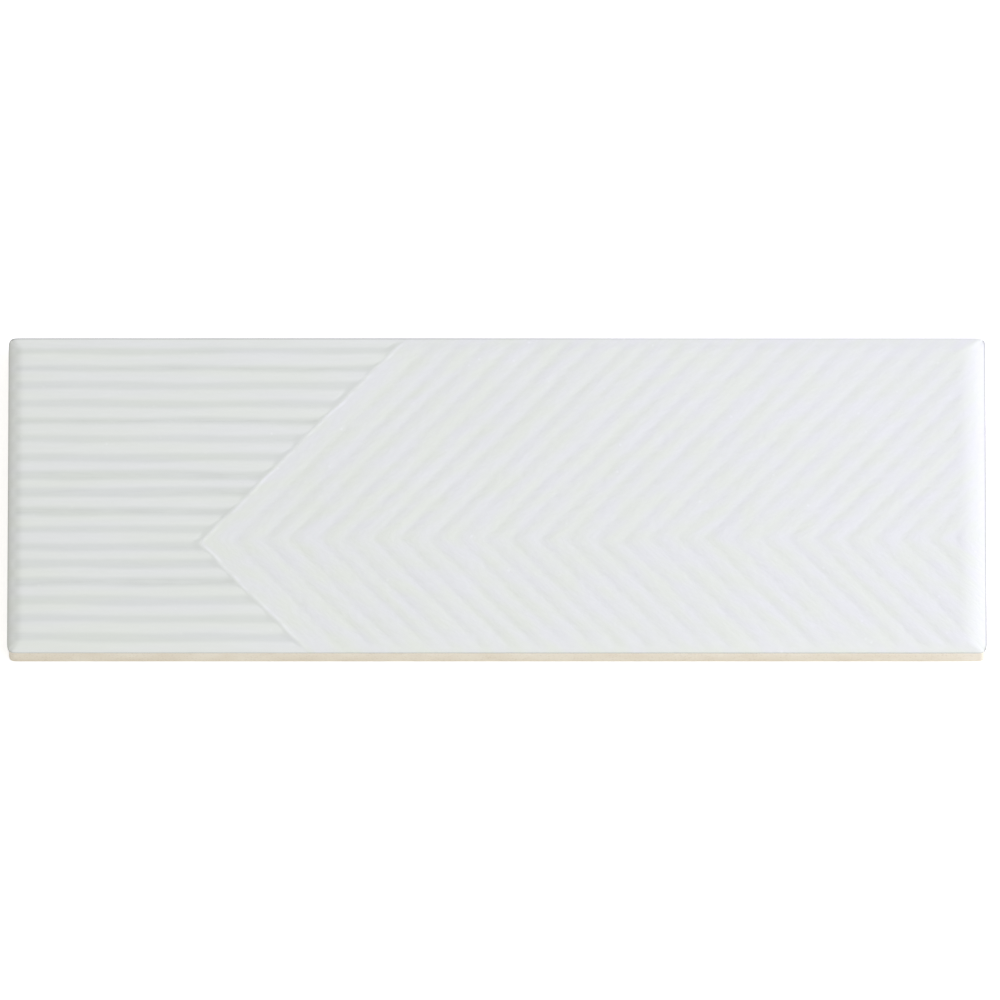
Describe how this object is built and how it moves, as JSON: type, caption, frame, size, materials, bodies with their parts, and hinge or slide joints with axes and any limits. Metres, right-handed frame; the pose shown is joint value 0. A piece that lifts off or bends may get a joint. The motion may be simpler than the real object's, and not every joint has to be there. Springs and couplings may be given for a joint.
{
  "type": "relief subway tile",
  "caption": "Oblong glazed ceramic wall tile with a cushion edge; straight grooves meet an arrow-shaped field of chevron grooves, and the unglazed back is keyed.",
  "frame": {"origin": "centre of the tile's back, where it is bedded", "axes": "+X along the tile's length, away from the straight grooves, the way opposite to the arrow's tip; +Y across the width, away from the side that the fold line is near; +Z out of the glazed face"},
  "size_m": [0.3, 0.101, 0.012],
  "materials": {
    "glazed_body": "glossy off-white glaze on the face and its rolled edge, bare buff biscuit on the sides and back"
  },
  "bodies": {
    "root": {"tile": "glazed_body"}
  },
  "joints": []
}
